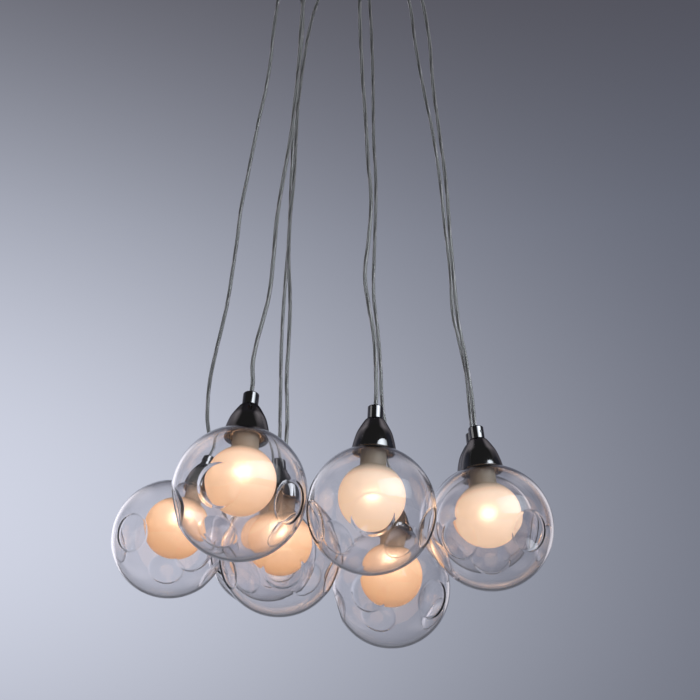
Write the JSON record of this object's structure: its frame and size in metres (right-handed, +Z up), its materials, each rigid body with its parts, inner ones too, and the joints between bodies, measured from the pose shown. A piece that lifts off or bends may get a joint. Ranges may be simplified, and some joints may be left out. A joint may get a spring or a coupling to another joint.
{
  "type": "cluster pendant",
  "caption": "Cluster pendant light: dimpled clear glass balls with frosted inner balls in black chrome cups, hung on clear cords from a round ceiling canopy.",
  "frame": {"origin": "on the ceiling, at the middle of the ceiling bracket's top face, over the middle of the canopy", "axes": "+Z up into the ceiling; +X to the right and +Y away from the viewer in the picture's view of the cluster"},
  "size_m": [0.4447, 0.3742, 0.9169],
  "materials": {
    "black_chrome": "polished black chrome",
    "clear_glass": "clear blown glass with pressed hollows",
    "frosted_glass": "frosted, lit from inside",
    "lamp_glass": "lit capsule lamp",
    "ceramic": "unglazed",
    "clear_sheath": "clear sheath over two tinned cores",
    "zinc_steel": "zinc plated",
    "block_plastic": "moulded"
  },
  "bodies": {
    "root": {"canopy": "black_chrome", "ceiling_bracket": "zinc_steel", "centre_nut": "black_chrome", "terminal_block": "block_plastic"},
    "drop_1": {"cord_1": "clear_sheath", "cord_grip_1": "black_chrome", "cup_1": "black_chrome", "lampholder_1": "ceramic"},
    "drop_2": {"cord_2": "clear_sheath", "cord_grip_2": "black_chrome", "cup_2": "black_chrome", "lampholder_2": "ceramic"},
    "drop_3": {"cord_3": "clear_sheath", "cord_grip_3": "black_chrome", "cup_3": "black_chrome", "lampholder_3": "ceramic"},
    "drop_4": {"cord_4": "clear_sheath", "cord_grip_4": "black_chrome", "cup_4": "black_chrome", "lampholder_4": "ceramic"},
    "drop_5": {"cord_5": "clear_sheath", "cord_grip_5": "black_chrome", "cup_5": "black_chrome", "lampholder_5": "ceramic"},
    "drop_6": {"cord_6": "clear_sheath", "cord_grip_6": "black_chrome", "cup_6": "black_chrome", "lampholder_6": "ceramic"},
    "drop_7": {"cord_7": "clear_sheath", "cord_grip_7": "black_chrome", "cup_7": "black_chrome", "lampholder_7": "ceramic"},
    "drop_8": {"cord_8": "clear_sheath", "cord_grip_8": "black_chrome", "cup_8": "black_chrome", "lampholder_8": "ceramic"},
    "glass_1": {"inner_globe_1": "frosted_glass", "outer_globe_1": "clear_glass"},
    "glass_2": {"inner_globe_2": "frosted_glass", "outer_globe_2": "clear_glass"},
    "glass_3": {"inner_globe_3": "frosted_glass", "outer_globe_3": "clear_glass"},
    "glass_4": {"inner_globe_4": "frosted_glass", "outer_globe_4": "clear_glass"},
    "glass_5": {"inner_globe_5": "frosted_glass", "outer_globe_5": "clear_glass"},
    "glass_6": {"inner_globe_6": "frosted_glass", "outer_globe_6": "clear_glass"},
    "glass_7": {"inner_globe_7": "frosted_glass", "outer_globe_7": "clear_glass"},
    "glass_8": {"inner_globe_8": "frosted_glass", "outer_globe_8": "clear_glass"},
    "plug_1": {"lamp_1": "lamp_glass"},
    "plug_2": {"lamp_2": "lamp_glass"},
    "plug_3": {"lamp_3": "lamp_glass"},
    "plug_4": {"lamp_4": "lamp_glass"},
    "plug_5": {"lamp_5": "lamp_glass"},
    "plug_6": {"lamp_6": "lamp_glass"},
    "plug_7": {"lamp_7": "lamp_glass"},
    "plug_8": {"lamp_8": "lamp_glass"}
  },
  "joints": [
    {"name": "swing_1", "type": "hinge", "parent": "root", "child": "drop_1", "pos_m": [-0.07142, -0.02599, -0.03545], "axis": [0.5, 0.866, 0], "range_deg": [0, 10]},
    {"name": "swing_2", "type": "hinge", "parent": "root", "child": "drop_2", "pos_m": [-0.03212, -0.06888, -0.03545], "axis": [-0.766, 0.6428, 0], "range_deg": [0, 10]},
    {"name": "swing_3", "type": "hinge", "parent": "root", "child": "drop_3", "pos_m": [-0.02599, 0.07142, -0.03545], "axis": [-0.9848, 0.1736, 0], "range_deg": [0, 1]},
    {"name": "swing_4", "type": "hinge", "parent": "root", "child": "drop_4", "pos_m": [0.02599, -0.07142, -0.03545], "axis": [-0.9659, -0.2588, 0], "range_deg": [0, 10]},
    {"name": "swing_5", "type": "hinge", "parent": "root", "child": "drop_5", "pos_m": [0.03212, 0.06888, -0.03545], "axis": [0.9962, 0.0872, 0], "range_deg": [0, 10]},
    {"name": "swing_6", "type": "hinge", "parent": "root", "child": "drop_6", "pos_m": [0.06888, -0.03212, -0.03545], "axis": [-0.1736, -0.9848, 0], "range_deg": [0, 10]},
    {"name": "swing_7", "type": "hinge", "parent": "root", "child": "drop_7", "pos_m": [-0.06888, 0.03212, -0.03545], "axis": [0.9848, 0.1736, 0], "range_deg": [0, 10]},
    {"name": "swing_8", "type": "hinge", "parent": "root", "child": "drop_8", "pos_m": [0.07142, 0.02599, -0.03545], "axis": [0.7071, -0.7071, 0], "range_deg": [0, 10]},
    {"name": "glass_turn_1", "type": "hinge", "parent": "drop_1", "child": "glass_1", "pos_m": [-0.17583, 0.04957, -0.80927], "axis": [0.281, 0.086, 0.9558], "range_deg": [0, 90]},
    {"name": "glass_turn_2", "type": "hinge", "parent": "drop_2", "child": "glass_2", "pos_m": [-0.08924, -0.12156, -0.81156], "axis": [0.054, 0.157, 0.9861], "range_deg": [0, 90]},
    {"name": "glass_turn_3", "type": "hinge", "parent": "drop_3", "child": "glass_3", "pos_m": [-0.06151, 0.01905, -0.83351], "axis": [0.037, -0.114, 0.9928], "range_deg": [0, 90]},
    {"name": "glass_turn_4", "type": "hinge", "parent": "drop_4", "child": "glass_4", "pos_m": [0.02762, -0.0726, -0.81288], "axis": [0.049, -0.008, 0.9988], "range_deg": [0, 90]},
    {"name": "glass_turn_5", "type": "hinge", "parent": "drop_5", "child": "glass_5", "pos_m": [0.04969, 0.05994, -0.85702], "axis": [0.057, 0.049, 0.9972], "range_deg": [0, 90]},
    {"name": "glass_turn_6", "type": "hinge", "parent": "drop_6", "child": "glass_6", "pos_m": [0.14146, -0.03256, -0.81879], "axis": [-0.091, 0.004, 0.9958], "range_deg": [0, 90]},
    {"name": "glass_turn_7", "type": "hinge", "parent": "drop_7", "child": "glass_7", "pos_m": [-0.08611, 0.13314, -0.80215], "axis": [0.122, -0.05, 0.9913], "range_deg": [0, 90]},
    {"name": "glass_turn_8", "type": "hinge", "parent": "drop_8", "child": "glass_8", "pos_m": [0.15015, 0.09588, -0.77948], "axis": [-0.059, 0.016, 0.9981], "range_deg": [0, 90]},
    {"name": "lamp_pull_1", "type": "slide", "parent": "drop_1", "child": "plug_1", "axis": [-0.281, -0.086, -0.9558], "range_m": [0, 0.008]},
    {"name": "lamp_pull_2", "type": "slide", "parent": "drop_2", "child": "plug_2", "axis": [-0.054, -0.157, -0.9861], "range_m": [0, 0.008]},
    {"name": "lamp_pull_3", "type": "slide", "parent": "drop_3", "child": "plug_3", "axis": [-0.037, 0.114, -0.9928], "range_m": [0, 0.008]},
    {"name": "lamp_pull_4", "type": "slide", "parent": "drop_4", "child": "plug_4", "axis": [-0.049, 0.008, -0.9988], "range_m": [0, 0.008]},
    {"name": "lamp_pull_5", "type": "slide", "parent": "drop_5", "child": "plug_5", "axis": [-0.057, -0.049, -0.9972], "range_m": [0, 0.008]},
    {"name": "lamp_pull_6", "type": "slide", "parent": "drop_6", "child": "plug_6", "axis": [0.091, -0.004, -0.9958], "range_m": [0, 0.008]},
    {"name": "lamp_pull_7", "type": "slide", "parent": "drop_7", "child": "plug_7", "axis": [-0.122, 0.05, -0.9913], "range_m": [0, 0.008]},
    {"name": "lamp_pull_8", "type": "slide", "parent": "drop_8", "child": "plug_8", "axis": [0.059, -0.016, -0.9981], "range_m": [0, 0.008]}
  ]
}
